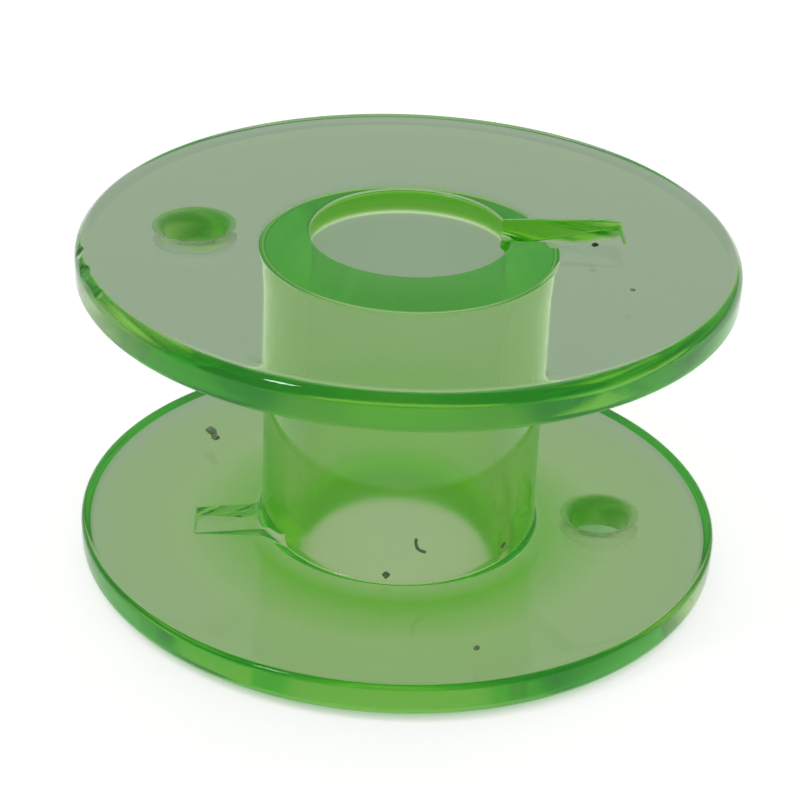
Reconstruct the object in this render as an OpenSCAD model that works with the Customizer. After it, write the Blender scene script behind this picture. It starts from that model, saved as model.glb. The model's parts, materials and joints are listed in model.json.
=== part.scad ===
// Drop-in sewing machine bobbin, moulded in one piece from translucent plastic.
// Two dished flanges stand on a hollow hub. Each flange has a thread hole and, opposite it,
// a ramped slot that runs from the bore outwards and catches the winder's spring.
// Millimetres, +Z along the bore. The origin is on the axis, on the face that the bobbin rests on.
// The slot of the upper flange points along +X, and that of the lower flange along -X.

/* [Flanges] */
// Outer diameter of both flanges
flange_d = 20.6; // [19:0.1:24]
// Height from one hub end to the other
height = 11.2; // [9:0.1:14]
// Thickness of each flange
flange_t = 1.16; // [1:0.01:1.4]
// How far each rim lies back from its hub end, because the flange is dished
crown = 0.21; // [0.05:0.01:0.4]
// Rounding of the rim on the outer face
rim_outer_r = 0.6; // [0.3:0.01:0.65]
// Rounding of the rim on the inner face
rim_inner_r = 0.25; // [0.1:0.01:0.3]

/* [Hub] */
// Outer diameter of the hub that the thread is wound on
hub_d = 8.9; // [8.2:0.1:9.6]
// Diameter of the bore for the spindle
bore_d = 6.2; // [5.6:0.1:6.8]
// Rounding of the bore at both ends
bore_edge_r = 0.15; // [0.05:0.01:0.25]
// Blend between the hub and each flange
hub_blend_r = 0.32; // [0.15:0.01:0.5]

/* [Thread holes] */
// Diameter of the hole that the thread's end is passed through
hole_d = 1.8; // [1.4:0.1:2.4]
// Distance of the hole from the bore's axis
hole_at = 6.65; // [6.4:0.05:7.2]
// Rounding of the hole's edges
hole_edge_r = 0.4; // [0.1:0.01:0.45]

/* [Winder slots] */
// Width of the slot
slot_w = 1.6; // [1:0.1:2]
// Distance of the slot's outer end from the bore's axis
slot_reach = 6.65; // [5.5:0.05:7.5]
// Depth of the slot where it opens into the bore
slot_depth = 0.95; // [0.6:0.01:1.1]
// Depth of the small step at the slot's outer end
slot_end_depth = 0.16; // [0.05:0.01:0.3]

/* [Wear] */
// How deep the nicks bite into the rim of the upper flange
nick_depth = 0.1; // [0.05:0.01:0.2]
// Radius of the round hollow that each nick leaves
nick_r = 0.6; // [0.5:0.01:1]

/* [Hidden] */

// Directions of the nicks about the bore's axis, in degrees
nick_angles = [187, 195, 203];
// How far up from the rim's side each nick lies on the rounding, in degrees
nick_tilt = 45;
// Depth of each nick as a share of the deepest one
nick_depth_shares = [0.75, 1, 0.6];
// How far a cut runs past the surface that it opens
overrun = 0.5;
// Straight steps in each rounding of the outline
round_steps = 8;
// Straight steps in each dished face of the outline
dish_steps = 6;
// Fineness of the round surfaces
$fn = 128;

flange_r = flange_d / 2;
hub_r = hub_d / 2;
bore_r = bore_d / 2;
hole_r = hole_d / 2;
// The hub end is flat out to here, and the dish begins
land_r = hub_r + hub_blend_r;
// Radius of the dished outer face, which leaves the hub end without a kink
dish_r = (pow(flange_r - land_r, 2) + pow(crown, 2)) / (2 * crown);
// Height of the centre of the dish above the hub's middle, far below the flange
dish_z = height / 2 - dish_r;

// Points of a round stretch from one angle to another
function arc(x, z, r, from, to, steps) = [
    for (i = [0 : steps])
        let (angle = from + (to - from) * i / steps)
            [x + r * cos(angle), z + r * sin(angle)]
];

// Height of the dished surface of radius r at a distance x from the axis, flat out to the land
function dish_height(x, r) = dish_z + sqrt(pow(r, 2) - pow(max(x - land_r, 0), 2));

// Height of the centre of a rim rounding that touches both a dished face and the rim's side
function rim_centre_z(distance, r) = dish_z + sqrt(pow(distance, 2) - pow(flange_r - r - land_r, 2));

// Centres and angles of the rim's two roundings, where they touch the dished faces
outer_centre_z = rim_centre_z(dish_r - rim_outer_r, rim_outer_r);
inner_centre_z = rim_centre_z(dish_r - flange_t + rim_inner_r, rim_inner_r);
outer_touch = atan2(outer_centre_z - dish_z, flange_r - rim_outer_r - land_r);
inner_touch = atan2(inner_centre_z - dish_z, flange_r - rim_inner_r - land_r);
// The upper flange's outline, seen from the side, from the hub outwards and back to the bore
upper_outline = concat(
    arc(hub_r + hub_blend_r, height / 2 - flange_t - hub_blend_r, hub_blend_r, 180, 90, round_steps),
    arc(land_r, dish_z, dish_r - flange_t, 90, inner_touch, dish_steps),
    arc(flange_r - rim_inner_r, inner_centre_z, rim_inner_r, inner_touch - 180, 0, round_steps),
    arc(flange_r - rim_outer_r, outer_centre_z, rim_outer_r, 0, outer_touch, round_steps),
    arc(land_r, dish_z, dish_r, outer_touch, 90, dish_steps),
    arc(bore_r + bore_edge_r, height / 2 - bore_edge_r, bore_edge_r, 90, 180, round_steps)
);
// The lower flange's outline is the same turned over, from the bore back to the hub
lower_outline = [for (i = [len(upper_outline) - 1 : -1 : 0]) [upper_outline[i][0], -upper_outline[i][1]]];

// The solid of revolution: hub, bore, both flanges and their rims
module spool() {
    rotate_extrude() polygon(concat(upper_outline, lower_outline));
}

// The thread hole through the upper flange, square to the dish, with both edges rounded
module thread_hole() {
    half = flange_t / 2;
    mouth_r = hole_r + hole_edge_r;
    flare_r = mouth_r + overrun;
    translate([-land_r, 0, dish_z])
        rotate([0, -asin((hole_at - land_r) / dish_r), 0])
            translate([0, 0, dish_r - half])
                rotate_extrude()
                    polygon(concat(
                        [[0, -half - overrun], [flare_r, -half - overrun]],
                        arc(mouth_r, hole_edge_r - half, hole_edge_r, 270, 180, round_steps),
                        arc(mouth_r, half - hole_edge_r, hole_edge_r, 180, 90, round_steps),
                        [[flare_r, half + overrun], [0, half + overrun]]
                    ));
}

// The ramped slot from the bore outwards, in the upper flange
module winder_slot() {
    end_z = dish_height(slot_reach, dish_r) - slot_end_depth;
    bore_z = height / 2 - slot_depth;
    translate([0, slot_w / 2])
        rotate([90, 0])
            linear_extrude(slot_w)
                polygon([
                    [0, bore_z],
                    [bore_r, bore_z],
                    [slot_reach, end_z],
                    [slot_reach, height / 2 + overrun],
                    [0, height / 2 + overrun]
                ]);
}

// The hole and the slot of the upper flange
module flange_cuts() {
    thread_hole();
    winder_slot();
}

// Small round hollows where the upper rim has been chipped
module rim_nicks() {
    for (i = [0 : len(nick_angles) - 1]) {
        reach = rim_outer_r + nick_r - nick_depth * nick_depth_shares[i];
        rotate([0, 0, nick_angles[i]])
            translate([flange_r - rim_outer_r, 0, outer_centre_z])
                translate([reach * cos(nick_tilt), 0, reach * sin(nick_tilt)])
                    sphere(nick_r);
    }
}

module bobbin() {
    color("limegreen")
        translate([0, 0, height / 2])
            difference() {
                spool();
                flange_cuts();
                rotate([0, 180, 0]) flange_cuts();
                rim_nicks();
            }
}

bobbin();
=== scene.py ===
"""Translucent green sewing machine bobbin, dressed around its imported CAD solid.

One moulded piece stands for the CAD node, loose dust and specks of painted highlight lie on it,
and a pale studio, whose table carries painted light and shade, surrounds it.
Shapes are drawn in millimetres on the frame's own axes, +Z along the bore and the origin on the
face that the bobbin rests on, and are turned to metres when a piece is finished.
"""

import json
import logging
import math
from dataclasses import dataclass, field
from enum import Enum
from random import Random
from typing import Any, Iterable, Sequence

import bmesh
import bpy
from mathutils import Matrix, Vector, noise
from mathutils.bvhtree import BVHTree


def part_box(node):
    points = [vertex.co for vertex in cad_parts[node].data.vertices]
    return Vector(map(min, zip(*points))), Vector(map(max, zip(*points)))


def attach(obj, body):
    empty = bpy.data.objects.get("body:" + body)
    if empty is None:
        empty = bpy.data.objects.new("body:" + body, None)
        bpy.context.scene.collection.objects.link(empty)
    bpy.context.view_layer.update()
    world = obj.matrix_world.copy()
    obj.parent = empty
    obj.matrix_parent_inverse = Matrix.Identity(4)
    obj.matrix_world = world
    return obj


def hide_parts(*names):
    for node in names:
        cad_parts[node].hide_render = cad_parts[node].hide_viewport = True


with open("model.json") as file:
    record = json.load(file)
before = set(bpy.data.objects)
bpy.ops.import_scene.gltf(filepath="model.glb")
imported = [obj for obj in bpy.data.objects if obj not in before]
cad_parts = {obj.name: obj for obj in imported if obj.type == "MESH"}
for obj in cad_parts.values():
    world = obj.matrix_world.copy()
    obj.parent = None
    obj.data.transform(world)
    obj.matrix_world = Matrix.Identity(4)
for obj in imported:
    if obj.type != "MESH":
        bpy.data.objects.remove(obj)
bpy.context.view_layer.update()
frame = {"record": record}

log = logging.getLogger("bobbin")

NODE = "bobbin"
BODY = "root"
MM = 0.001
PHOTO_SIDE = 800
# How often light may turn inside the plastic before it is dropped
BOUNCES = 24
UP = Vector((0, 0, 1))
# Points closer than this, in millimetres, count as one
SAME = 1e-4


def linear(hex_colour: str) -> tuple[float, float, float, float]:
    """Turn an sRGB hex colour into linear light.

    Args:
        hex_colour: Colour such as "#7CEA3F".

    Returns:
        Red, green, blue and an alpha of 1, as the shader sockets take them.
    """
    channels = [int(hex_colour[i : i + 2], 16) / 255 for i in (1, 3, 5)]
    red, green, blue = (c / 12.92 if c <= 0.04045 else ((c + 0.055) / 1.055) ** 2.4 for c in channels)
    return red, green, blue, 1.0


def add_node(
    tree: bpy.types.NodeTree,
    kind: str,
    inputs: dict[str | int, Any] | None = None,
    **settings: Any,
) -> bpy.types.Node:
    """Add one node to a tree, with its values and its links.

    Args:
        tree: Tree that the node goes into.
        kind: Blender's name for the kind of node.
        inputs: What each input gets: a socket of another node, or a value.
        **settings: The node's own properties.

    Returns:
        The new node.
    """
    node = tree.nodes.new(kind)
    for name, value in settings.items():
        setattr(node, name, value)
    for name, value in (inputs or {}).items():
        if isinstance(value, bpy.types.NodeSocket):
            tree.links.new(value, node.inputs[name])
        else:
            node.inputs[name].default_value = value
    return node


def new_material(name: str) -> tuple[bpy.types.Material, bpy.types.NodeTree, bpy.types.Node]:
    """Start a node material that holds only its output.

    Args:
        name: Name of the finish.

    Returns:
        The material, its tree and the output node.
    """
    material = bpy.data.materials.new(name)
    material.use_nodes = True
    material.node_tree.nodes.clear()
    return material, material.node_tree, add_node(material.node_tree, "ShaderNodeOutputMaterial")


def everything(bm: bmesh.types.BMesh) -> list[Any]:
    """Return all vertices, edges and faces of a mesh."""
    return [*bm.verts, *bm.edges, *bm.faces]


def round_off(
    bm: bmesh.types.BMesh, edges: Sequence[bmesh.types.BMEdge], radius: float, segments: int
) -> None:
    """Round a set of edges.

    Args:
        bm: Mesh that the edges are in.
        edges: Edges to round.
        radius: How far the rounding reaches on each side, in millimetres.
        segments: Steps across the rounding.
    """
    bmesh.ops.bevel(
        bm,
        geom=list(edges),
        offset=radius,
        offset_type="OFFSET",
        affect="EDGES",
        segments=segments,
        profile=0.5,
        material=-1,
        clamp_overlap=False,
    )
    bmesh.ops.remove_doubles(bm, verts=bm.verts, dist=SAME)


def finish_piece(
    bm: bmesh.types.BMesh,
    name: str,
    material: bpy.types.Material,
    sharp_from: float = 40.0,
) -> bpy.types.Object:
    """Turn a mesh in millimetres into a smooth-shaded object in metres, and free the mesh.

    Args:
        bm: Mesh of the piece, in the frame's axes.
        name: Name of the piece.
        material: Finish of the piece.
        sharp_from: Angle in degrees from which an edge stays a crease.

    Returns:
        The linked object, with its place in its mesh.
    """
    bmesh.ops.scale(bm, vec=(MM, MM, MM), verts=bm.verts)
    mesh = bpy.data.meshes.new(name)
    bm.to_mesh(mesh)
    bm.free()
    mesh.shade_smooth()
    mesh.set_sharp_from_angle(angle=math.radians(sharp_from))
    mesh.materials.append(material)
    piece = bpy.data.objects.new(name, mesh)
    bpy.context.scene.collection.objects.link(piece)
    return piece


@dataclass(frozen=True)
class DullSpot:
    """A place on the piece where a pin or core of the mould left it duller, in millimetres.

    It reaches equally far in the directions that it goes across, and without end in the others.
    """

    centre: Vector
    across: tuple[float, float, float]
    reach: float
    roughness: float


@dataclass(frozen=True)
class MouldedPolystyrene:
    """Clear polystyrene, dyed green and injection moulded in a polished mould.

    It is see-through all the way, so the eye reads its colour from how far light has travelled in
    it: pale through a flange, deep along a rim. Its faces are glossy, with the faint waves of
    plastic that shrank in the mould, and use has left them a little dull and scuffed. The thread
    holes are matt inside, and the bore a little, where the mould's pins were never polished, so
    they glow evenly.
    """

    name: str = "moulded_green_polystyrene"
    passed_light: str = "#C2F92E"
    dye_per_metre: float = 335.0
    # Matched to how light the rims and holes look, a little under the plastic's usual 1.59
    ior: float = 1.49
    polished: float = 0.035
    worn: float = 0.11
    # Where the handling pattern starts to dull the face, and where it is as dull as it gets
    handled_range: tuple[float, float] = (0.42, 0.72)
    wave_mm: float = 3.2
    wave_depth_mm: float = 0.0012
    handling_mm: float = 1.6
    scuff_mm: float = 0.12
    scuff_depth_mm: float = 0.0006

    def material(self, dull_spots: Sequence[DullSpot]) -> bpy.types.Material:
        """Build the finish.

        Args:
            dull_spots: Where the mould wasn't polished.

        Returns:
            The material for the moulded piece.
        """
        material, tree, output = new_material(self.name)
        place = add_node(tree, "ShaderNodeTexCoord").outputs["Object"]
        waves = self._noise(tree, place, self.wave_mm, detail=1.0)
        handling = self._noise(tree, place, self.handling_mm, detail=4.0)
        scuffs = self._noise(tree, place, self.scuff_mm, detail=3.0)
        rough = add_node(
            tree,
            "ShaderNodeMapRange",
            {
                "Value": handling,
                "From Min": self.handled_range[0],
                "From Max": self.handled_range[1],
                "To Min": self.polished,
                "To Max": self.worn,
            },
        )
        sheen = rough.outputs[0]
        for dull in dull_spots:
            off = add_node(
                tree, "ShaderNodeVectorMath", {0: place, 1: -dull.centre * MM}, operation="ADD"
            )
            flat = add_node(
                tree, "ShaderNodeVectorMath", {0: off.outputs[0], 1: dull.across}, operation="MULTIPLY"
            )
            away = add_node(tree, "ShaderNodeVectorMath", {0: flat.outputs[0]}, operation="LENGTH")
            near = add_node(
                tree, "ShaderNodeMath", {0: away.outputs[1], 1: dull.reach * MM}, operation="LESS_THAN"
            )
            mix = add_node(
                tree, "ShaderNodeMix", {"Factor": near.outputs[0], "A": sheen, "B": dull.roughness}
            )
            sheen = mix.outputs[0]
        wavy = add_node(
            tree, "ShaderNodeBump", {"Height": waves, "Strength": 1.0, "Distance": self.wave_depth_mm * MM}
        )
        scuffed = add_node(
            tree,
            "ShaderNodeBump",
            {
                "Height": scuffs,
                "Strength": 1.0,
                "Distance": self.scuff_depth_mm * MM,
                "Normal": wavy.outputs[0],
            },
        )
        surface = add_node(
            tree,
            "ShaderNodeBsdfPrincipled",
            {
                "Base Color": linear("#FFFFFF"),
                "Roughness": sheen,
                "IOR": self.ior,
                "Transmission Weight": 1.0,
                "Normal": scuffed.outputs[0],
            },
        )
        dye = add_node(
            tree,
            "ShaderNodeVolumeAbsorption",
            {"Color": linear(self.passed_light), "Density": self.dye_per_metre},
        )
        tree.links.new(surface.outputs[0], output.inputs["Surface"])
        tree.links.new(dye.outputs[0], output.inputs["Volume"])
        return material

    @staticmethod
    def _noise(
        tree: bpy.types.NodeTree, place: bpy.types.NodeSocket, size_mm: float, detail: float
    ) -> bpy.types.NodeSocket:
        """Add a noise pattern of a real size.

        Args:
            tree: Tree that the pattern goes into.
            place: Coordinates in metres.
            size_mm: Width of one spot of the pattern.
            detail: Finer layers on top of the pattern.

        Returns:
            The pattern's value, about 0.5 on the whole.
        """
        settings = {"Vector": place, "Scale": 1 / (size_mm * MM), "Detail": detail}
        return add_node(tree, "ShaderNodeTexNoise", settings).outputs[0]


@dataclass(frozen=True)
class WorkshopDustAndGlint:
    """Dry dust and thread fluff, matt all over, with a mottled colour.

    Its grains look dull against the glossy plastic, and darker or paler from one spot to the next.
    Its pale kind stands for painted highlights rather than dust.
    """

    name: str
    dark: str
    pale: str
    mottle_mm: float = 0.06
    # Values of the mottled pattern up to which a spot is dark, and from which it is pale
    mottle_range: tuple[float, float] = (0.35, 0.65)
    roughness: float = 0.9
    ior: float = 1.5

    def material(self) -> bpy.types.Material:
        """Build the finish.

        Returns:
            The material for one kind of dust.
        """
        material, tree, output = new_material(self.name)
        place = add_node(tree, "ShaderNodeTexCoord").outputs["Object"]
        mottle = add_node(
            tree, "ShaderNodeTexNoise", {"Vector": place, "Scale": 1 / (self.mottle_mm * MM), "Detail": 3.0}
        )
        ramp = add_node(tree, "ShaderNodeValToRGB", {0: mottle.outputs[0]})
        stops = ramp.color_ramp.elements
        for stop, position, colour in zip(stops, self.mottle_range, (self.dark, self.pale)):
            stop.position = position
            stop.color = linear(colour)
        surface = add_node(
            tree,
            "ShaderNodeBsdfPrincipled",
            {"Base Color": ramp.outputs[0], "Roughness": self.roughness, "IOR": self.ior},
        )
        tree.links.new(surface.outputs[0], output.inputs["Surface"])
        return material


@dataclass(frozen=True)
class PaleTable:
    """Matt painted board, a light grey that carries the object's shadow.

    Its matt paint takes soft shadows and mirrors nothing. The camera and glossy faces see it lifted
    to white, but for a painted thin green shadow at the bobbin's foot and painted green shade under
    it. Through the plastic it shows mostly painted light in place of the light that has passed the
    bobbin, in tones that go by the distance from the bore.
    """

    name: str = "painted_board"
    colour: str = "#D2D4D2"
    roughness: float = 0.4
    lift: float = 0.65
    # The board's own paint, much darker where seen through the plastic, so that the painted light there
    # sets its tone
    colour_through_plastic: str = "#404040"
    # Painted light: tones by distance from the bore, emitted where the board is seen through the plastic,
    # in place of the light that passes the bobbin
    painted_light_through_plastic: tuple[tuple[float, str], ...] = (
        (3.0, "#A9B2A0"),
        (4.8, "#6BA447"),
        (7.0, "#94AA86"),
        (9.5, "#94A68E"),
        (11.0, "#98A0A5"),
    )
    # Painted shade: green shade under the bobbin and the thin shadow at its foot, for direct and glossy
    # views, white beyond
    painted_shade_tones_direct: tuple[tuple[float, str], ...] = (
        (6.6, "#3F8E3F"),
        (9.75, "#A2C4A0"),
        (10.15, "#FFFFFF"),
    )

    def material(self) -> bpy.types.Material:
        """Build the finish.

        Returns:
            The material for the table.
        """
        material, tree, output = new_material(self.name)
        rays = add_node(tree, "ShaderNodeLightPath").outputs
        direct = add_node(
            tree, "ShaderNodeMath", {0: rays["Is Camera Ray"], 1: rays["Is Glossy Ray"]}, operation="ADD"
        )
        lifted = add_node(
            tree, "ShaderNodeMath", {0: direct.outputs[0], 1: self.lift}, operation="MULTIPLY"
        )
        strength = add_node(
            tree,
            "ShaderNodeMix",
            {"Factor": rays["Is Transmission Ray"], "A": lifted.outputs[0], "B": 1.0},
        )
        paint = self._either(tree, rays, linear(self.colour), linear(self.colour_through_plastic))
        place = add_node(tree, "ShaderNodeTexCoord").outputs["Object"]
        away = add_node(tree, "ShaderNodeVectorMath", {0: place}, operation="LENGTH").outputs[1]
        # Painted light and shade on the board, by distance from the bore
        painted_tone = self._either(
            tree,
            rays,
            self._painted_light_by_distance(tree, away, self.painted_shade_tones_direct),
            self._painted_light_by_distance(tree, away, self.painted_light_through_plastic),
        )
        board = add_node(tree, "ShaderNodeBsdfDiffuse", {"Color": paint, "Roughness": self.roughness})
        # The lift to white, and the painted light and shade
        glow = add_node(tree, "ShaderNodeEmission", {"Color": painted_tone, "Strength": strength.outputs[0]})
        both = add_node(tree, "ShaderNodeAddShader", {0: board.outputs[0], 1: glow.outputs[0]})
        tree.links.new(both.outputs[0], output.inputs["Surface"])
        return material

    @staticmethod
    def _either(
        tree: bpy.types.NodeTree, rays: Any, direct: Any, through_plastic: Any
    ) -> bpy.types.NodeSocket:
        """Choose a colour by whether the table is seen through the plastic.

        Args:
            tree: Tree that the choice goes into.
            rays: Outputs of the light path.
            direct: Colour or socket for direct and glossy views.
            through_plastic: Colour or socket for views through the plastic.

        Returns:
            The chosen colour.
        """
        mix = add_node(
            tree, "ShaderNodeMix", {"Factor": rays["Is Transmission Ray"]}, data_type="RGBA"
        )
        sides = [socket for socket in mix.inputs if socket.type == "RGBA"]
        for socket, colour in zip(sides, (direct, through_plastic)):
            if isinstance(colour, bpy.types.NodeSocket):
                tree.links.new(colour, socket)
            else:
                socket.default_value = colour
        return next(socket for socket in mix.outputs if socket.type == "RGBA")

    @staticmethod
    def _painted_light_by_distance(
        tree: bpy.types.NodeTree, away: bpy.types.NodeSocket, tones: Sequence[tuple[float, str]]
    ) -> bpy.types.NodeSocket:
        """Give painted light and shade on the table, in place of the light that reaches it through the
        bobbin, by distance from the bore.

        Args:
            tree: Tree that the pattern goes into.
            away: Distance from the bore, in metres.
            tones: Distances in millimetres, from the bore outwards, and the painted colour there.

        Returns:
            The painted colour.
        """
        reach = tones[-1][0] * MM
        share = add_node(tree, "ShaderNodeMath", {0: away, 1: reach}, operation="DIVIDE")
        ramp = add_node(tree, "ShaderNodeValToRGB", {0: share.outputs[0]})
        stops = ramp.color_ramp.elements
        stops[0].position = tones[0][0] * MM / reach
        stops[0].color = linear(tones[0][1])
        stops[1].position = 1.0
        stops[1].color = linear(tones[-1][1])
        for radius, painted_tone in tones[1:-1]:
            stops.new(radius * MM / reach).color = linear(painted_tone)
        return ramp.outputs[0]


@dataclass
class PhotoCamera:
    """The camera that took the photograph, solved from the bobbin's outlines, in millimetres."""

    centre: tuple[float, float, float] = (-4.0176, -69.4987, 43.5561)
    forward: tuple[float, float, float] = (0.04949, 0.87470, -0.48213)
    upward: tuple[float, float, float] = (-0.01662, 0.48337, 0.87526)
    lens_mm: float = 111.70
    sensor_mm: float = 36.0
    # Nearest and farthest things that it sees, in metres
    sight: tuple[float, float] = (MM, 10.0)

    def axes(self) -> tuple[Vector, Vector, Vector]:
        """Return the picture's right and up directions and the view direction."""
        forward = Vector(self.forward).normalized()
        right = forward.cross(Vector(self.upward)).normalized()
        return right, right.cross(forward), forward

    def place(self) -> bpy.types.Object:
        """Make the scene's camera.

        Returns:
            The camera object.
        """
        data = bpy.data.cameras.new("photo_camera")
        data.lens = self.lens_mm
        data.sensor_width = self.sensor_mm
        data.clip_start, data.clip_end = self.sight
        camera = bpy.data.objects.new("photo_camera", data)
        right, upward, forward = self.axes()
        turn = Matrix((right, upward, -forward)).transposed().to_4x4()
        camera.matrix_world = Matrix.Translation(Vector(self.centre) * MM) @ turn
        bpy.context.scene.collection.objects.link(camera)
        bpy.context.scene.camera = camera
        return camera

    def ray(self, across: float, down: float) -> tuple[Vector, Vector]:
        """Return where a pixel of the photograph looks from, in millimetres, and its direction.

        Args:
            across: Pixels from the photograph's left side.
            down: Pixels from its top.

        Returns:
            The camera's centre and the unit direction.
        """
        pixels = self.lens_mm / self.sensor_mm * PHOTO_SIDE
        right, upward, forward = self.axes()
        middle = PHOTO_SIDE / 2
        aim = forward + right * ((across - middle) / pixels) + upward * ((middle - down) / pixels)
        return Vector(self.centre), aim.normalized()


@dataclass(frozen=True)
class Softbox:
    """One soft lamp in metres, aimed at the bobbin and hidden from what shows through its plastic."""

    name: str
    place: tuple[float, float, float]
    width: float
    height: float
    watts: float

    def build(self) -> bpy.types.Object:
        """Make the lamp.

        Returns:
            The lamp object.
        """
        data = bpy.data.lights.new(self.name, "AREA")
        data.shape = "RECTANGLE"
        data.size = self.width
        data.size_y = self.height
        data.energy = self.watts
        lamp = bpy.data.objects.new(self.name, data)
        lamp.matrix_world = (
            Matrix.Translation(Vector(self.place))
            @ Vector(self.place).to_track_quat("Z", "Y").to_matrix().to_4x4()
        )
        lamp.visible_transmission = False
        bpy.context.scene.collection.objects.link(lamp)
        return lamp


@dataclass
class Studio:
    """Pale table, even surroundings and soft lamps, at a plain level."""

    table: PaleTable = field(default_factory=PaleTable)
    table_side: float = 4.0
    table_gap_mm: float = 0.01
    surroundings: str = "#FFFFFF"
    surroundings_level: float = 0.5
    surroundings_through_plastic: float = 0.52
    softboxes: tuple[Softbox, ...] = (
        Softbox("overhead_softbox", (0.10, 0.40, 0.80), 0.8, 0.6, 1.6),
        Softbox("side_softbox", (-0.36, -0.22, 0.61), 0.08, 0.12, 0.5),
    )

    def build(self) -> bpy.types.Object:
        """Make the table, the world and the lamps.

        Returns:
            The table.
        """
        self._light_the_air()
        for softbox in self.softboxes:
            softbox.build()
        bm = bmesh.new()
        bmesh.ops.create_grid(bm, x_segments=1, y_segments=1, size=self.table_side / 2 / MM)
        bmesh.ops.translate(bm, vec=-UP * self.table_gap_mm, verts=bm.verts)
        table = finish_piece(bm, "table", self.table.material())
        return table

    def _light_the_air(self) -> None:
        """Give the world an even light, which only the camera sees as white."""
        world = bpy.data.worlds.new("studio")
        bpy.context.scene.world = world
        world.use_nodes = True
        tree = world.node_tree
        tree.nodes.clear()
        rays = add_node(tree, "ShaderNodeLightPath").outputs
        level = add_node(
            tree,
            "ShaderNodeMix",
            {
                "Factor": rays["Is Transmission Ray"],
                "A": self.surroundings_level,
                "B": self.surroundings_through_plastic,
            },
        )
        shown = add_node(
            tree, "ShaderNodeMath", {0: level.outputs[0], 1: rays["Is Camera Ray"]}, operation="MAXIMUM"
        )
        air = add_node(
            tree,
            "ShaderNodeBackground",
            {"Color": linear(self.surroundings), "Strength": shown.outputs[0]},
        )
        add_node(tree, "ShaderNodeOutputWorld", {"Surface": air.outputs[0]})


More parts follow.
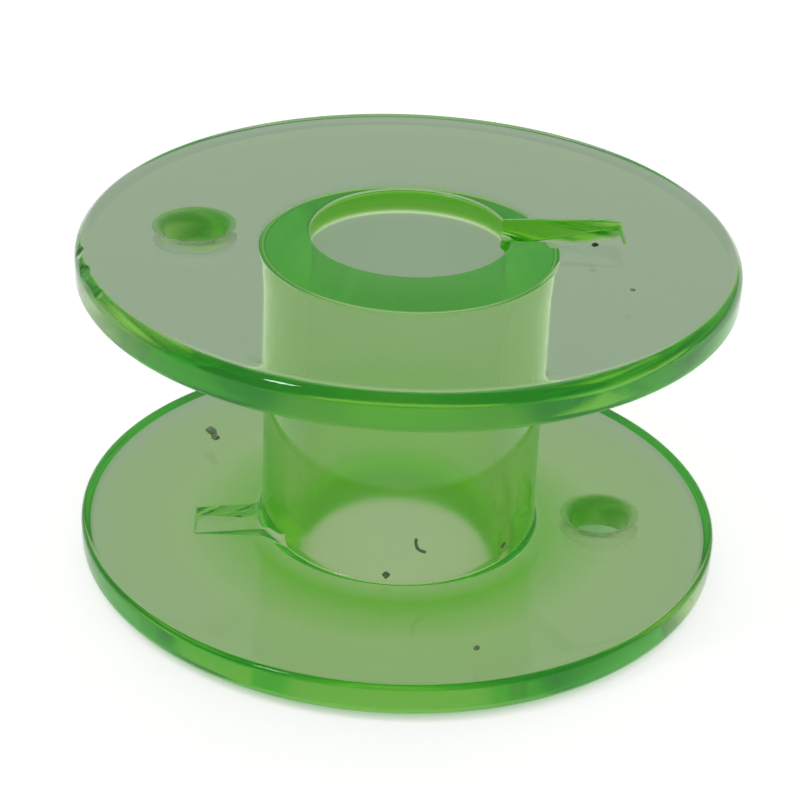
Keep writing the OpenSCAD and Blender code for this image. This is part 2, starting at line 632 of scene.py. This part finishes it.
@dataclass
class Bobbin:
    """The moulded bobbin: hub, two dished flanges, thread holes, winder slots and worn rim.

    The lengths are in millimetres and repeat the solid's own sizes, but the rim is a little squarer
    and the holes and slots lie a little to the side, as in the photograph. The box and the mounts of
    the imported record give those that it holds.
    """

    flange_r: float
    height: float
    bore_r: float
    hole_r: float
    hole_centre: Vector
    hole_axis: Vector
    flange_t: float = 1.16
    crown: float = 0.21
    rim_outer_r: float = 0.45
    rim_inner_r: float = 0.2
    hub_r: float = 4.45
    hub_blend_r: float = 0.32
    bore_edge_r: float = 0.15
    hole_edge_r: float = 0.4
    # How far each mouth of the hole is cut on outwards and upwards, past its rounding
    hole_flare: tuple[float, float] = (0.15, 0.03)
    # How far the hole and the slot lie off the line through the bore, upper flange first
    cut_shifts: tuple[float, float] = (0.25, -0.15)
    slot_w: float = 1.6
    slot_reach: float = 6.65
    slot_depth: float = 0.95
    slot_end_depth: float = 0.16
    slot_edge_r: float = 0.06
    slot_edge_steps: int = 3
    # Rise and spread of the lid over a mouth, in roundings of its edge, and steps across that edge
    mouth_clear: float = 0.06
    mouth_spread: float = 4.0
    mouth_steps: int = 4
    overrun: float = 0.5
    seam_w: float = 0.1
    seam_h: float = 0.003
    chip_angles: tuple[float, ...] = (187.0, 195.0, 203.0)
    chip_r: float = 2.4
    chip_depths: tuple[float, ...] = (0.03, 0.04, 0.022)
    chip_tilt: float = 45.0
    # Height of the unevenness on a chip, its waves in a millimetre, and its step between chips
    chip_bumps: float = 0.03
    chip_waves: float = 3.0
    chip_change: float = 7.3
    chip_fineness: int = 6
    # Steps across the roundings of the outer rim, inner rim, hub and bore
    corner_steps: tuple[int, int, int, int] = (10, 6, 8, 5)
    round_steps: int = 256
    hole_steps: int = 96
    dish_steps: int = 8
    bore_finish: float = 0.2
    hole_finish: float = 0.5
    plastic: MouldedPolystyrene = field(default_factory=MouldedPolystyrene)

    @classmethod
    def from_frame(cls) -> "Bobbin":
        """Read the solid's box and mounts.

        Returns:
            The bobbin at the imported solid's size.
        """
        low, high = (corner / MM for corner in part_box(NODE))
        mounts = {mount["name"]: mount for mount in frame["record"]["mounts"]}
        hole = mounts["upper_thread_hole"]
        height = high.z - low.z
        return cls(
            flange_r=high.x,
            height=height,
            bore_r=mounts["bore"]["dims"]["r_mm"],
            hole_r=hole["dims"]["r_mm"],
            hole_centre=Vector((hole["pos_m"][0] / MM, 0, hole["pos_m"][2] / MM - height / 2)),
            hole_axis=Vector(hole["axis"]),
        )

    @property
    def land_r(self) -> float:
        """Return the radius out to which the hub's end is flat."""
        return self.hub_r + self.hub_blend_r

    @property
    def dish_r(self) -> float:
        """Return the radius of the dished outer face."""
        return ((self.flange_r - self.land_r) ** 2 + self.crown**2) / (2 * self.crown)

    @property
    def dish_z(self) -> float:
        """Return the height of the dish's centre above the hub's middle."""
        return self.height / 2 - self.dish_r

    def dish_height(self, radius: float) -> float:
        """Return the height of the upper face above the hub's middle, at a radius.

        Args:
            radius: Distance from the axis.

        Returns:
            The height in millimetres.
        """
        return self.dish_z + math.sqrt(self.dish_r**2 - max(radius - self.land_r, 0) ** 2)

    def build(self) -> bpy.types.Object:
        """Model the bobbin and give it its finish.

        Returns:
            The piece that stands for the CAD node.
        """
        bm = self._spool()
        self._raise_parting_line(bm)
        cutters = self._chip_cutters()
        for turn, shift in zip((0, math.pi), self.cut_shifts):
            for cutter in (self._slot_cutter(), self._hole_cutter()):
                half_turn = Matrix.Rotation(turn, 3, "Y")
                bmesh.ops.rotate(cutter, cent=(0, 0, 0), matrix=half_turn, verts=cutter.verts)
                bmesh.ops.translate(cutter, vec=(0, shift, 0), verts=cutter.verts)
                cutters.append(cutter)
        bm = self._cut(bm, cutters)
        bmesh.ops.translate(bm, vec=UP * self.height / 2, verts=bm.verts)
        piece = finish_piece(bm, "moulded_bobbin", self.plastic.material(self._dull_spots()))
        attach(piece, BODY)
        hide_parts(NODE)
        return piece

    def _dull_spots(self) -> list[DullSpot]:
        """List where the mould's pins and cores left the piece duller: both holes and the bore.

        Returns:
            The places, in the finished piece's own axes.
        """
        reach = math.hypot(self.hole_r + self.hole_edge_r, self.flange_t / 2)
        bore_reach = self.bore_r + self.bore_edge_r / 2
        spots = [DullSpot(Vector((0, 0, 0)), (1, 1, 0), bore_reach, self.bore_finish)]
        for turn, shift in zip((0, math.pi), self.cut_shifts):
            centre = Matrix.Rotation(turn, 3, "Y") @ self.hole_centre
            centre += Vector((0, shift, self.height / 2))
            spots.append(DullSpot(centre, (1, 1, 1), reach, self.hole_finish))
        return spots

    def _spool(self) -> bmesh.types.BMesh:
        """Turn the outline about the bore and round its corners.

        Returns:
            The hub and both flanges as one closed shell, about the hub's middle.
        """
        bm = bmesh.new()
        under_z = self.height / 2 - self.flange_t
        centre = Vector((self.land_r, 0, self.dish_z))
        tip = bm.verts.new((self.hub_r, 0, 0))
        tip = self._line(bm, tip, self.hub_r, under_z)
        tip = self._line(bm, tip, self.land_r, under_z)
        run = self.flange_r - self.land_r
        tip = self._sweep(bm, tip, centre, math.asin(run / (self.dish_r - self.flange_t)))
        inner_rim_z = tip.co.z
        tip = self._line(bm, tip, self.flange_r, self.height / 2 - self.crown)
        outer_rim_z = tip.co.z
        tip = self._sweep(bm, tip, centre, -math.asin(run / self.dish_r))
        tip = self._line(bm, tip, self.bore_r, self.height / 2)
        self._line(bm, tip, self.bore_r, 0)
        bmesh.ops.spin(
            bm,
            geom=everything(bm),
            cent=(0, 0, 0),
            axis=UP,
            angle=math.tau,
            steps=self.round_steps,
            use_merge=True,
        )
        corners = (
            (self.flange_r, outer_rim_z, self.rim_outer_r),
            (self.flange_r, inner_rim_z, self.rim_inner_r),
            (self.hub_r, under_z, self.hub_blend_r),
            (self.bore_r, self.height / 2, self.bore_edge_r),
        )
        for (radius, height, rounding), segments in zip(corners, self.corner_steps):
            round_off(bm, self._ring(bm, radius, height), rounding, segments)
        bmesh.ops.mirror(bm, geom=everything(bm), matrix=Matrix.Identity(4), merge_dist=SAME, axis="Z")
        bmesh.ops.recalc_face_normals(bm, faces=bm.faces)
        return bm

    @staticmethod
    def _line(
        bm: bmesh.types.BMesh, tip: bmesh.types.BMVert, radius: float, height: float
    ) -> bmesh.types.BMVert:
        """Draw the outline on to a point, in a straight line.

        Args:
            bm: Mesh that holds the outline.
            tip: Last point of the outline.
            radius: Distance of the new point from the axis.
            height: Height of the new point.

        Returns:
            The new last point.
        """
        new = bmesh.ops.extrude_vert_indiv(bm, verts=[tip])["verts"][0]
        new.co = (radius, 0, height)
        return new

    def _sweep(
        self, bm: bmesh.types.BMesh, tip: bmesh.types.BMVert, centre: Vector, angle: float
    ) -> bmesh.types.BMVert:
        """Draw the outline on along an arc.

        Args:
            bm: Mesh that holds the outline.
            tip: Last point of the outline.
            centre: Centre of the arc.
            angle: How far the arc turns about +Y, in radians.

        Returns:
            The new last point.
        """
        made = bmesh.ops.spin(
            bm, geom=[tip], cent=centre, axis=(0, 1, 0), angle=angle, steps=self.dish_steps
        )
        return next(v for v in made["geom_last"] if isinstance(v, bmesh.types.BMVert))

    @staticmethod
    def _ring(bm: bmesh.types.BMesh, radius: float, height: float) -> list[bmesh.types.BMEdge]:
        """Find the ring of edges about the axis at one radius and height.

        Args:
            bm: Mesh that holds the ring.
            radius: Distance of its corners from the axis.
            height: Height of the ring.

        Returns:
            The ring's edges.
        """
        return [
            edge
            for edge in bm.edges
            if all(abs(v.co.xy.length - radius) < SAME and abs(v.co.z - height) < SAME for v in edge.verts)
        ]

    def _raise_parting_line(self, bm: bmesh.types.BMesh) -> None:
        """Raise the fine line that the mould's two slides leave along X on the lower flange.

        Args:
            bm: The whole spool, about the hub's middle.
        """
        inner_z = self.height / 2 - self.flange_t + self.rim_inner_r / 2
        for side in (-1, 1):
            faces = [
                face
                for face in bm.faces
                if -inner_z < face.calc_center_median().z < 0
                and face.calc_center_median().xy.length > self.hub_r
                and abs(face.calc_center_median().y) < self.slot_w
            ]
            edges = dict.fromkeys(edge for face in faces for edge in face.edges)
            verts = dict.fromkeys(vert for face in faces for vert in face.verts)
            bmesh.ops.bisect_plane(
                bm,
                geom=[*verts, *edges, *faces],
                dist=SAME,
                plane_co=(0, side * self.seam_w / 2, 0),
                plane_no=(0, 1, 0),
            )
        bm.normal_update()
        crest = [
            vert
            for vert in bm.verts
            if abs(vert.co.y) < SAME
            and self.hub_r + SAME < vert.co.xy.length < self.flange_r - self.rim_inner_r
            and -inner_z < vert.co.z < 0
        ]
        for vert in crest:
            vert.co += vert.normal * self.seam_h

    def _slot_cutter(self) -> bmesh.types.BMesh:
        """Model the space of the upper flange's slot, with a ramped floor and a rounded mouth.

        Returns:
            The closed space, about the hub's middle.
        """
        start = self.bore_r - self.slot_w / 2
        top = self.height / 2
        bm = bmesh.new()
        bmesh.ops.create_cube(bm, size=1)
        bmesh.ops.scale(bm, vec=(self.slot_reach - start, self.slot_w, 1), verts=bm.verts)
        bmesh.ops.translate(bm, vec=((self.slot_reach + start) / 2, 0, top - 0.5), verts=bm.verts)
        bore_z = top - self.slot_depth
        end_z = self.dish_height(self.slot_reach) - self.slot_end_depth
        slope = (end_z - bore_z) / (self.slot_reach - self.bore_r)
        for vert in bm.verts:
            if vert.co.z < top - SAME:
                vert.co.z = bore_z + slope * (vert.co.x - self.bore_r)
        bm.normal_update()
        below = [edge for edge in bm.edges if any(v.co.z < top - SAME for v in edge.verts)]
        inside = [edge for edge in below if all(v.co.x > start + SAME for v in edge.verts)]
        floor = [edge for edge in below if abs(edge.verts[0].co.y - edge.verts[1].co.y) < SAME]
        round_off(bm, list(dict.fromkeys(inside + floor)), self.slot_edge_r, self.slot_edge_steps)
        self._open_mouth(bm, UP, self.slot_edge_r)
        return bm

    def _hole_cutter(self) -> bmesh.types.BMesh:
        """Model the space of the upper flange's thread hole, with both mouths rounded.

        Returns:
            The closed space, about the hub's middle.
        """
        bm = bmesh.new()
        mouth_r = self.hole_r + self.hole_edge_r
        half = self.flange_t / 2
        out, up = self.hole_flare
        tip = bm.verts.new((0, 0, -half - self.overrun))
        tip = self._line(bm, tip, mouth_r + out, -half - self.overrun)
        tip = self._line(bm, tip, mouth_r + out, -half - up)
        tip = self._line(bm, tip, mouth_r, -half)
        corner = Vector((mouth_r, 0, self.hole_edge_r - half))
        tip = self._sweep(bm, tip, corner, math.pi / 2)
        tip = self._line(bm, tip, self.hole_r, half - self.hole_edge_r)
        corner.z = half - self.hole_edge_r
        tip = self._sweep(bm, tip, corner, math.pi / 2)
        tip = self._line(bm, tip, mouth_r + out, half + up)
        tip = self._line(bm, tip, mouth_r + out, half + self.overrun)
        self._line(bm, tip, 0, half + self.overrun)
        bmesh.ops.spin(
            bm,
            geom=everything(bm),
            cent=(0, 0, 0),
            axis=UP,
            angle=math.tau,
            steps=self.hole_steps,
            use_merge=True,
        )
        bmesh.ops.remove_doubles(bm, verts=bm.verts, dist=SAME)
        bmesh.ops.recalc_face_normals(bm, faces=bm.faces)
        sag = mouth_r**2 / (2 * self.dish_r)
        bmesh.ops.translate(bm, vec=-UP * sag, verts=bm.verts)
        lean = UP.rotation_difference(self.hole_axis).to_matrix()
        bmesh.ops.rotate(bm, cent=(0, 0, 0), matrix=lean, verts=bm.verts)
        bmesh.ops.translate(bm, vec=self.hole_centre, verts=bm.verts)
        return bm

    def _open_mouth(self, bm: bmesh.types.BMesh, way: Vector, rounding: float) -> None:
        """Flare a space out above the face that it opens into, so that its mouth is cut round.

        Args:
            bm: The space, which ends flush with the face that it opens into.
            way: Direction from the space out of the face.
            rounding: Radius of the mouth's edge.
        """
        lid = max(bm.faces, key=lambda face: face.calc_center_median().dot(way))
        bmesh.ops.translate(bm, vec=way * self.mouth_clear * rounding, verts=lid.verts)
        rim = list(lid.edges)
        size = [max(v.co[i] for v in lid.verts) - min(v.co[i] for v in lid.verts) for i in range(3)]
        plate = self._raise_face(bm, lid)
        grow = [1 + self.mouth_spread * rounding / side if side > SAME else 1 for side in size]
        to_middle = Matrix.Translation(-plate.calc_center_bounds())
        bmesh.ops.scale(bm, vec=grow, space=to_middle, verts=plate.verts)
        plate = self._raise_face(bm, plate)
        bmesh.ops.translate(bm, vec=way * self.overrun, verts=plate.verts)
        round_off(bm, rim, rounding, self.mouth_steps)
        bmesh.ops.recalc_face_normals(bm, faces=bm.faces)

    @staticmethod
    def _raise_face(bm: bmesh.types.BMesh, face: bmesh.types.BMFace) -> bmesh.types.BMFace:
        """Extrude one face, and drop the one that it leaves inside.

        Args:
            bm: Mesh that the face is in.
            face: Face to extrude.

        Returns:
            The new face, still in the old one's place.
        """
        made = bmesh.ops.extrude_face_region(bm, geom=[face])["geom"]
        bmesh.ops.delete(bm, geom=[face], context="FACES_ONLY")
        return next(item for item in made if isinstance(item, bmesh.types.BMFace))

    def _chip_cutters(self) -> list[bmesh.types.BMesh]:
        """Model the chips that knocks have taken out of the upper rim.

        Returns:
            One uneven ball for each chip, about the hub's middle.
        """
        cutters = []
        tilt = math.radians(self.chip_tilt)
        outwards = Vector((math.cos(tilt), 0, math.sin(tilt)))
        rim_z = self.height / 2 - self.crown - self.rim_outer_r
        rim = Vector((self.flange_r - self.rim_outer_r, 0, rim_z))
        for number, (angle, depth) in enumerate(zip(self.chip_angles, self.chip_depths)):
            bm = bmesh.new()
            bmesh.ops.create_icosphere(bm, subdivisions=self.chip_fineness, radius=self.chip_r)
            change = Vector((number * self.chip_change, 0, 0))
            for vert in bm.verts:
                bump = noise.noise(vert.co * self.chip_waves + change)
                vert.co += vert.normal * self.chip_bumps * bump
            reach = self.rim_outer_r + self.chip_r - depth
            bmesh.ops.translate(bm, vec=rim + outwards * reach, verts=bm.verts)
            turn = Matrix.Rotation(math.radians(angle), 3, "Z")
            bmesh.ops.rotate(bm, cent=(0, 0, 0), matrix=turn, verts=bm.verts)
            cutters.append(bm)
        return cutters

    @staticmethod
    def _cut(bm: bmesh.types.BMesh, cutters: Iterable[bmesh.types.BMesh]) -> bmesh.types.BMesh:
        """Take spaces out of a solid.

        Args:
            bm: The solid, which is freed.
            cutters: The spaces, which are freed too.

        Returns:
            What is left of the solid.
        """
        scene = bpy.context.scene
        made = []
        for number, mesh_in in enumerate([bm, *cutters]):
            mesh = bpy.data.meshes.new(f"blank_{number}")
            mesh_in.to_mesh(mesh)
            mesh_in.free()
            made.append(bpy.data.objects.new(mesh.name, mesh))
            scene.collection.objects.link(made[-1])
        blank, *spaces = made
        for space in spaces:
            modifier = blank.modifiers.new(space.name, "BOOLEAN")
            modifier.operation = "DIFFERENCE"
            modifier.solver = "EXACT"
            modifier.object = space
        seen = blank.evaluated_get(bpy.context.evaluated_depsgraph_get())
        left = bmesh.new()
        left.from_mesh(seen.to_mesh())
        for thing in made:
            mesh = thing.data
            bpy.data.objects.remove(thing)
            bpy.data.meshes.remove(mesh)
        bmesh.ops.remove_doubles(left, verts=left.verts, dist=SAME)
        return left


class DustAndGlintKind(Enum):
    """The kinds of loose dirt on the bobbin, and the pale specks of painted highlight, each with its
    finish.
    """

    DARK = WorkshopDustAndGlint("dark_dust", "#1E1C16", "#4A4636")
    GREY = WorkshopDustAndGlint("grey_dust", "#66785A", "#8C9E7E")
    # Pale specks standing in for tiny highlights on pits: painted highlights
    PAINTED_HIGHLIGHT = WorkshopDustAndGlint("pale_dust", "#C9CFC0", "#F2F4EC")


@dataclass(frozen=True)
class Grain:
    """One grain, where it shows in the photograph, and its size on the face that it lies on."""

    kind: DustAndGlintKind
    across: float
    down: float
    length_mm: float
    width_mm: float
    turn: float = 0.0


@dataclass(frozen=True)
class Lint:
    """One bent fibre, with the pixels of the photograph that it runs through."""

    kind: DustAndGlintKind
    run: tuple[tuple[float, float], ...]
    width_mm: float


@dataclass
class DustAndGlints:
    """Loose grains on the flanges and the hub, one bent fibre, and two pale specks of painted highlight."""

    seed: int = 7
    # Height of a grain as a share of its width
    thickness: float = 0.7
    # Smallest and largest share of its round shape that a grain's corner has
    uneven: tuple[float, float] = (0.75, 1.15)
    grain_fineness: int = 2
    lint_sides: int = 8
    lints: tuple[Lint, ...] = (
        Lint(
            DustAndGlintKind.GREY,
            ((416, 538), (415.5, 541), (416, 544), (417, 547), (420, 549.5), (425, 551)),
            0.1,
        ),
    )
    grains: tuple[Grain, ...] = (
        Grain(DustAndGlintKind.DARK, 595, 245, 0.26, 0.22, 20),
        Grain(DustAndGlintKind.GREY, 633, 290, 0.17, 0.14, 0),
        Grain(DustAndGlintKind.GREY, 211, 431, 0.50, 0.36, 120),
        Grain(DustAndGlintKind.GREY, 215, 437, 0.44, 0.30, 100),
        Grain(DustAndGlintKind.GREY, 477, 648, 0.26, 0.18, 60),
        Grain(DustAndGlintKind.GREY, 386, 575, 0.26, 0.24, 0),
        Grain(DustAndGlintKind.GREY, 503, 545, 0.26, 0.12, 90),
        # Painted highlights at two tiny bright dots
        Grain(DustAndGlintKind.PAINTED_HIGHLIGHT, 435, 583, 0.10, 0.08, 0),
        Grain(DustAndGlintKind.PAINTED_HIGHLIGHT, 691, 600, 0.10, 0.08, 0),
    )

    def build(self, carrier: bpy.types.Object, camera: PhotoCamera) -> list[bpy.types.Object]:
        """Lay the grains and the fibre on the first face that the camera meets at their place.

        Args:
            carrier: The bobbin.
            camera: The camera whose pixels give the places.

        Returns:
            One piece for each kind of dust, and one for the painted highlights.
        """
        tree = BVHTree.FromObject(carrier, bpy.context.evaluated_depsgraph_get())
        random = Random(self.seed)
        pieces = []
        for kind in DustAndGlintKind:
            bm = bmesh.new()
            for grain in (g for g in self.grains if g.kind is kind):
                origin, aim = camera.ray(grain.across, grain.down)
                spot, normal, _, _ = tree.ray_cast(origin * MM, aim)
                self._lay(bm, grain, spot / MM, normal, random)
            for lint in (t for t in self.lints if t.kind is kind):
                self._lay_lint(bm, lint, tree, camera)
            piece = finish_piece(bm, kind.value.name, kind.value.material())
            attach(piece, BODY)
            pieces.append(piece)
        return pieces

    def _lay(
        self, bm: bmesh.types.BMesh, grain: Grain, spot: Vector, normal: Vector, random: Random
    ) -> None:
        """Model one grain on a face.

        Args:
            bm: Mesh that gathers the grains.
            grain: The grain.
            spot: Its place.
            normal: The face's direction there.
            random: Source of the grain's unevenness.
        """
        fineness = self.grain_fineness
        made = bmesh.ops.create_icosphere(bm, subdivisions=fineness, radius=0.5)["verts"]
        for vert in made:
            vert.co *= random.uniform(*self.uneven)
        size = (grain.length_mm, grain.width_mm, grain.width_mm * self.thickness)
        bmesh.ops.scale(bm, vec=size, verts=made)
        turn = Matrix.Rotation(math.radians(grain.turn), 3, "Z")
        bmesh.ops.rotate(bm, cent=(0, 0, 0), matrix=turn, verts=made)
        lean = UP.rotation_difference(normal).to_matrix()
        bmesh.ops.rotate(bm, cent=(0, 0, 0), matrix=lean, verts=made)
        bmesh.ops.translate(bm, vec=spot, verts=made)

    def _lay_lint(self, bm: bmesh.types.BMesh, lint: Lint, tree: BVHTree, camera: PhotoCamera) -> None:
        """Model one fibre along a face, as a tube with closed ends.

        Args:
            bm: Mesh that gathers the dirt.
            lint: The fibre.
            tree: Faces that it can lie on.
            camera: The camera whose pixels give its run.
        """
        spots = []
        for across, down in lint.run:
            origin, aim = camera.ray(across, down)
            spot, normal, _, _ = tree.ray_cast(origin * MM, aim)
            spots.append(spot / MM + normal * lint.width_mm * self.thickness)
        ends = [spots[0], *spots, spots[-1]]
        ring = bmesh.ops.create_circle(
            bm, cap_ends=True, segments=self.lint_sides, radius=lint.width_mm / 2
        )["verts"]
        way = spots[1] - spots[0]
        bmesh.ops.rotate(bm, cent=(0, 0, 0), matrix=UP.rotation_difference(way).to_matrix(), verts=ring)
        bmesh.ops.translate(bm, vec=spots[0], verts=ring)
        face = ring[0].link_faces[0]
        for number, spot in enumerate(spots[1:], 1):
            made = bmesh.ops.extrude_face_region(bm, geom=[face])["geom"]
            if number > 1:
                bmesh.ops.delete(bm, geom=[face], context="FACES_ONLY")
            face = next(item for item in made if isinstance(item, bmesh.types.BMFace))
            onward = ends[number + 2] - ends[number]
            turn = way.rotation_difference(onward).to_matrix()
            bmesh.ops.translate(bm, vec=spot - spots[number - 1], verts=face.verts)
            bmesh.ops.rotate(bm, cent=spot, matrix=turn, verts=face.verts)
            way = onward


def set_light_paths() -> None:
    """Let light turn inside the plastic as often as its rims need, and show colours plainly."""
    cycles = bpy.context.scene.cycles
    cycles.max_bounces = BOUNCES
    cycles.glossy_bounces = BOUNCES
    cycles.transmission_bounces = BOUNCES
    bpy.context.scene.view_settings.view_transform = "Standard"


def main() -> None:
    """Build the studio, the bobbin and its dust in order, and report each piece."""
    logging.basicConfig(level=logging.INFO, format="%(name)s: %(message)s")
    set_light_paths()
    camera = PhotoCamera()
    camera.place()
    Studio().build()
    bobbin = Bobbin.from_frame().build()
    pieces = [bobbin, *DustAndGlints().build(bobbin, camera)]
    for piece in pieces:
        log.info("%s: %d faces", piece.name, len(piece.data.polygons))


if __name__ == "__main__":
    main()
